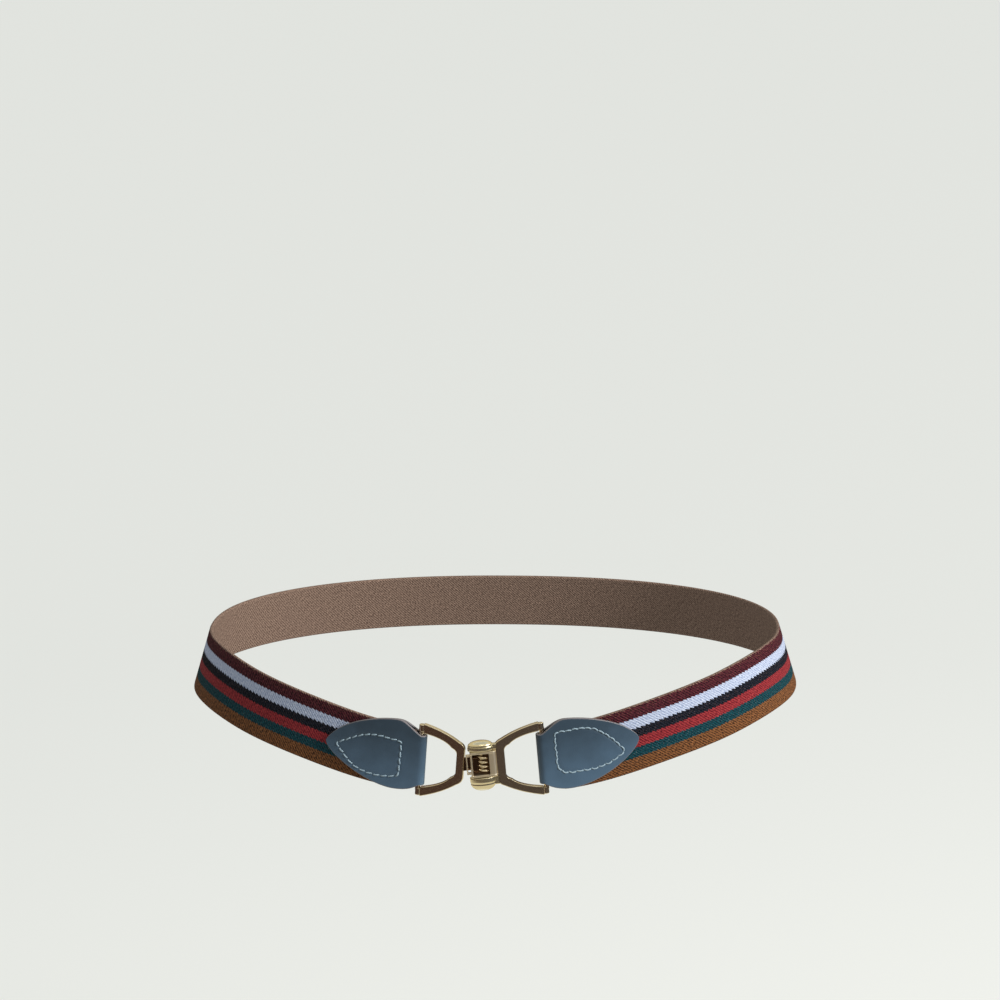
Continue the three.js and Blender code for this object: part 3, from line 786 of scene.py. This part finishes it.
hinge_parts = [knuckle_shell(*knuckle) for knuckle in KNUCKLES]
hinge_parts += [box(WEB_REACH, heights, (RING_BACK, RING_FRONT), 0.3) for heights in WEB_HEIGHTS]
right_casting = make_piece("casting_right", ring_parts(1), gold)
knuckles = make_piece("casting_right_knuckles", [in_half(1, part) for part in hinge_parts], worn_gold)
for piece in (right_casting, knuckles):
    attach(piece, "root")
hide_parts("buckle_frame_right")

# Clasp clip.
# A small cast channel between the knuckles, open to the front and the left: a rail above and below, a
# rounded wall on the hinge side, a thin back, and two upright cross bars that catch behind the tooth.

CLIP_LEFT = -4.3
CLIP_RIGHT = 5.65
CLIP_TOP = 6.0
CLIP_LOW = -3.9
CLIP_BACK = -3.0
CLIP_FRONT = 2.6
CLIP_RAIL = 0.8
CLIP_BACK_WALL = 0.9
CLIP_POCKET_RIGHT = 2.9
WALL_INSET = 0.05
CLIP_UPRIGHT_WIDTH = 0.7
CLIP_UPRIGHT_DEPTHS = (-0.2, 2.2)
# The bar that reaches over the tongue, and the two short arms that hold it.
CATCH_LEFT = -5.95
CATCH_RIGHT = -5.45
CATCH_LOW = -2.6
CATCH_TOP = 5.2
CATCH_DEPTHS = (0.4, 2.0)
CATCH_ARM = 0.7
CATCH_ARM_END = -3.8

rail = rounded_outline(
    [(CLIP_LEFT, CLIP_FRONT), (CLIP_RIGHT, CLIP_FRONT), (CLIP_RIGHT, CLIP_BACK), (CLIP_LEFT, CLIP_BACK)],
    [0.25, 1.5, 1.0, 0.25],
    10,
)
wall = rounded_outline(
    [
        (CLIP_POCKET_RIGHT, CLIP_FRONT - WALL_INSET),
        (CLIP_RIGHT - WALL_INSET, CLIP_FRONT - WALL_INSET),
        (CLIP_RIGHT - WALL_INSET, CLIP_BACK + WALL_INSET),
        (CLIP_LEFT + WALL_INSET, CLIP_BACK + WALL_INSET),
        (CLIP_LEFT + WALL_INSET, CLIP_BACK + CLIP_BACK_WALL),
        (CLIP_POCKET_RIGHT, CLIP_BACK + CLIP_BACK_WALL),
    ],
    [0.1, 1.4, 1.0, 0.2, 0.2, 0.5],
    10,
)
between_rails = (CLIP_LOW + CLIP_RAIL / 2, CLIP_TOP - CLIP_RAIL / 2)
upright = (CLIP_LEFT, CLIP_LEFT + CLIP_UPRIGHT_WIDTH)
catch_arm = (CATCH_LEFT, CATCH_ARM_END)
channel = slab(wall, *between_rails, 0.05)
clip_parts = [
    slab(rail, CLIP_TOP - CLIP_RAIL, CLIP_TOP, 0.18),
    slab(rail, CLIP_LOW, CLIP_LOW + CLIP_RAIL, 0.18),
    channel,
    box(upright, between_rails, CLIP_UPRIGHT_DEPTHS, 0.27),
    box((CATCH_LEFT, CATCH_RIGHT), (CATCH_LOW, CATCH_TOP), CATCH_DEPTHS, 0.19),
    box(catch_arm, (CATCH_TOP - CATCH_ARM, CATCH_TOP), CATCH_DEPTHS, 0.16),
    box(catch_arm, (CATCH_LOW, CATCH_LOW + CATCH_ARM), CATCH_DEPTHS, 0.16),
]
# Painted shade: the inside of the clip's pocket is drawn darker.
pocket_shade = [np.zeros(part.shape[:2]) for part in clip_parts]
pocket_shade[2][channel[..., 0] < CLIP_POCKET_RIGHT - WALL_INSET] = 1
clip = make_piece("clasp_clip_fine", [in_half(1, part) for part in clip_parts], satin_gold, marks=pocket_shade)
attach(clip, "root")
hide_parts("clasp_clip")

# Hinge pin.
# A steel rod through the knuckles and the clip, riveted out of sight, drawn in the rings' pale gold.

PIN_AT = 4.15
PIN_DEPTH = -0.5
PIN_RADIUS = 0.5
PIN_LOW = -5.8
PIN_TOP = 7.9

hinge = make_piece("pin", [in_half(1, rod(PIN_AT, PIN_DEPTH, PIN_RADIUS, PIN_LOW, PIN_TOP))], gold)
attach(hinge, "root")
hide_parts("hinge_pin")

# Clasp spring.
# Gold plated steel wire wound in four flattened turns. It stands in the clip's window beside the tooth,
# held between the two rails, and keeps the clip shut.

SPRING_TURNS = 4
SPRING_LOW = -2.3
SPRING_HIGH = 4.4
SPRING_AT = 0.6
SPRING_DEPTH = 0.9
SPRING_HALF_WIDTH = 1.5
SPRING_HALF_DEPTH = 1.0
SPRING_WIRE = 0.42

# A helix about the width direction: x follows the sine of the sweep, z its cosine, y grows evenly.
sweep = np.linspace(0, 2 * np.pi * SPRING_TURNS, 49 * SPRING_TURNS)
coil = np.stack([
    SPRING_AT + SPRING_HALF_WIDTH * np.sin(sweep),
    SPRING_LOW + (SPRING_HIGH - SPRING_LOW) * sweep / sweep[-1],
    SPRING_DEPTH - SPRING_HALF_DEPTH * np.cos(sweep),
], -1)
spring = make_piece("spring", [in_half(1, wire(coil, SPRING_WIRE, 14, (0, 1.0, 0)))], gold)
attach(spring, "root")
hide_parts("clasp_spring")

# Setting.
# A pale floor far below the belt that sweeps up into a round wall, and a soft key light from the right. A
# round brown screen, pale above and below and with one bright window, shows only in reflections.

FLOOR_RADIUS = 1200
FLOOR_LEVEL = -320
SWEEP_RADIUS = 1500
WALL_TOP = 5000
RIM_STEPS = 48
SCREEN_PROFILE = [(90, -305), (600, -285), (600, 860)]
# The bright window on the screen, in metres as its material reads them.
WINDOW_LEFT = 0.0
WINDOW_RIGHT = 0.26
WINDOW_LOW = 0.5
WINDOW_TOP = 0.64


def staged(name, points, faces, material):
    """A mesh of the setting, given in millimetres."""
    mesh = bpy.data.meshes.new(name)
    mesh.from_pydata((np.array(points, float) * MM).tolist(), [], faces)
    mesh.materials.append(material)
    thing = bpy.data.objects.new(name, mesh)
    bpy.context.scene.collection.objects.link(thing)
    return thing


floor_material, _, floor_shader = new_material("pale_floor", 0.9, specular=0.1)
floor_shader.inputs["Base Color"].default_value = (0.3, 0.3, 0.29, 1)
floor_shader.inputs["Emission Color"].default_value = (0.97, 1.0, 0.96, 1)
floor_shader.inputs["Emission Strength"].default_value = 0.55
around = np.linspace(0, 2 * np.pi, RIM_STEPS, endpoint=False)
rim = np.stack([np.cos(around), np.sin(around), 0 * around], -1)


def round_sheet(profile):
    """Points and inward faces of a sheet turned about the vertical axis, from rows of radius and height."""
    points = np.concatenate([radius * rim + [0, 0, height] for radius, height in profile])
    low, step = np.meshgrid(RIM_STEPS * np.arange(len(profile) - 1), np.arange(RIM_STEPS), indexing="ij")
    after = (step + 1) % RIM_STEPS
    quads = np.stack([low + step, low + step + RIM_STEPS, low + after + RIM_STEPS, low + after], -1)
    return points, quads.reshape(-1, 4).tolist()


# The floor is a disc whose rim sweeps up into the wall in a quarter circle.
bend = np.radians(np.linspace(0, 90, 25))
swept_out = FLOOR_RADIUS + SWEEP_RADIUS * np.sin(bend)
swept_up = FLOOR_LEVEL + SWEEP_RADIUS * (1 - np.cos(bend))
bowl_profile = [*zip(swept_out, swept_up), (FLOOR_RADIUS + SWEEP_RADIUS, WALL_TOP)]
bowl_points, bowl_faces = round_sheet(bowl_profile)
bowl = staged("floor", bowl_points, [*bowl_faces, list(range(RIM_STEPS))], floor_material)
bowl.data.polygons.foreach_set("use_smooth", np.ones(len(bowl.data.polygons), bool))
bowl.visible_diffuse = False

glow, glow_tree, glow_shader = new_material("brown_screen", 1.0)
glow_place = glow_tree.nodes.new("ShaderNodeTexCoord")
glow_apart = glow_tree.nodes.new("ShaderNodeSeparateXYZ")
glow_tree.links.new(glow_place.outputs["Object"], glow_apart.inputs[0])
sideways, backward, level = (Field(glow_tree, glow_apart.outputs[axis]) for axis in "XYZ")
glow_colour = mixed(glow_tree, sideways.step(0.05, 0.5), colour(60, 37, 29), colour(74, 68, 64))
glow_colour = mixed(glow_tree, level.step(0.16, 0.16), glow_colour, colour(204, 192, 162))
glow_colour = mixed(glow_tree, level.step(-0.245, 0.02), colour(212, 202, 176), glow_colour)
in_window = sideways.step(WINDOW_LEFT, 0.02) * (sideways * -1).step(-WINDOW_RIGHT, 0.02)
in_window = in_window * level.step(WINDOW_LOW, 0.02) * (level * -1).step(-WINDOW_TOP, 0.02)
in_window = in_window * (backward * -1).step(0.0, 0.1)
glow_colour = mixed(glow_tree, in_window, glow_colour, (3.0, 2.8, 2.1, 1.0))
glow_tree.links.new(glow_colour, glow_shader.inputs["Emission Color"])
glow_shader.inputs["Base Color"].default_value = (0, 0, 0, 1)
glow_shader.inputs["Emission Strength"].default_value = 1.0
screen = staged("screen", *round_sheet(SCREEN_PROFILE), glow)
screen.visible_camera = False
screen.visible_diffuse = False
screen.visible_shadow = False
screen.visible_transmission = False

world = bpy.data.worlds.new("surround")
bpy.context.scene.world = world
world.use_nodes = True
backdrop = next(node for node in world.node_tree.nodes if node.type == "BACKGROUND")
backdrop.inputs["Color"].default_value = (0.90, 0.91, 0.88, 1)
backdrop.inputs["Strength"].default_value = 0.55


def soft_light(name, place, target, size, energy, tint):
    """A square area light at a place in millimetres, turned to its target."""
    light = bpy.data.lights.new(name, "AREA")
    light.size = size * MM
    light.energy = energy
    light.color = tint
    lamp = bpy.data.objects.new(name, light)
    back = unit(np.array(place, float) - np.array(target, float))
    right = unit(np.cross([0, 0, 1], back))
    turned = np.stack([right, np.cross(back, right), back], -1)
    lamp.matrix_world = Matrix.Translation(np.array(place) * MM) @ Matrix(turned.tolist()).to_4x4()
    bpy.context.scene.collection.objects.link(lamp)


soft_light("key", (1500, -750, 850), (0, 0, 0), 700, 46, (1.0, 0.98, 0.95))

# Camera.
# In front of the buckle, a little to the right and above, and looking slightly down. It stands on a sphere
# round the origin, given by azimuth and elevation, then turns by its own pan, pitch and roll.

CAMERA_DISTANCE = 1.0
SENSOR_WIDTH = 36
FOCAL_LENGTH = 2.388 * SENSOR_WIDTH

azimuth, elevation = np.radians(3.5), np.radians(15.0)
pan, pitch, roll = np.radians(-0.17), np.radians(11.4), np.radians(-0.53)
place = CAMERA_DISTANCE * np.array([
    np.sin(azimuth) * np.cos(elevation), -np.cos(azimuth) * np.cos(elevation), np.sin(elevation)
])
heading = azimuth + pan
forward = np.array([-np.sin(heading) * np.cos(pitch), np.cos(heading) * np.cos(pitch), -np.sin(pitch)])
level_right = np.array([np.cos(heading), np.sin(heading), 0])
level_up = np.cross(level_right, forward)
right = np.cos(roll) * level_right + np.sin(roll) * level_up
up = np.cos(roll) * level_up - np.sin(roll) * level_right
camera_data = bpy.data.cameras.new("camera")
camera_data.sensor_width = SENSOR_WIDTH
camera_data.lens = FOCAL_LENGTH
camera_data.clip_start = 0.01
camera_data.clip_end = 50
camera = bpy.data.objects.new("camera", camera_data)
turned = np.stack([right, up, -forward], -1)
camera.matrix_world = Matrix.Translation(place) @ Matrix(turned.tolist()).to_4x4()
bpy.context.scene.collection.objects.link(camera)
bpy.context.scene.camera = camera
bpy.context.scene.view_settings.view_transform = "Standard"
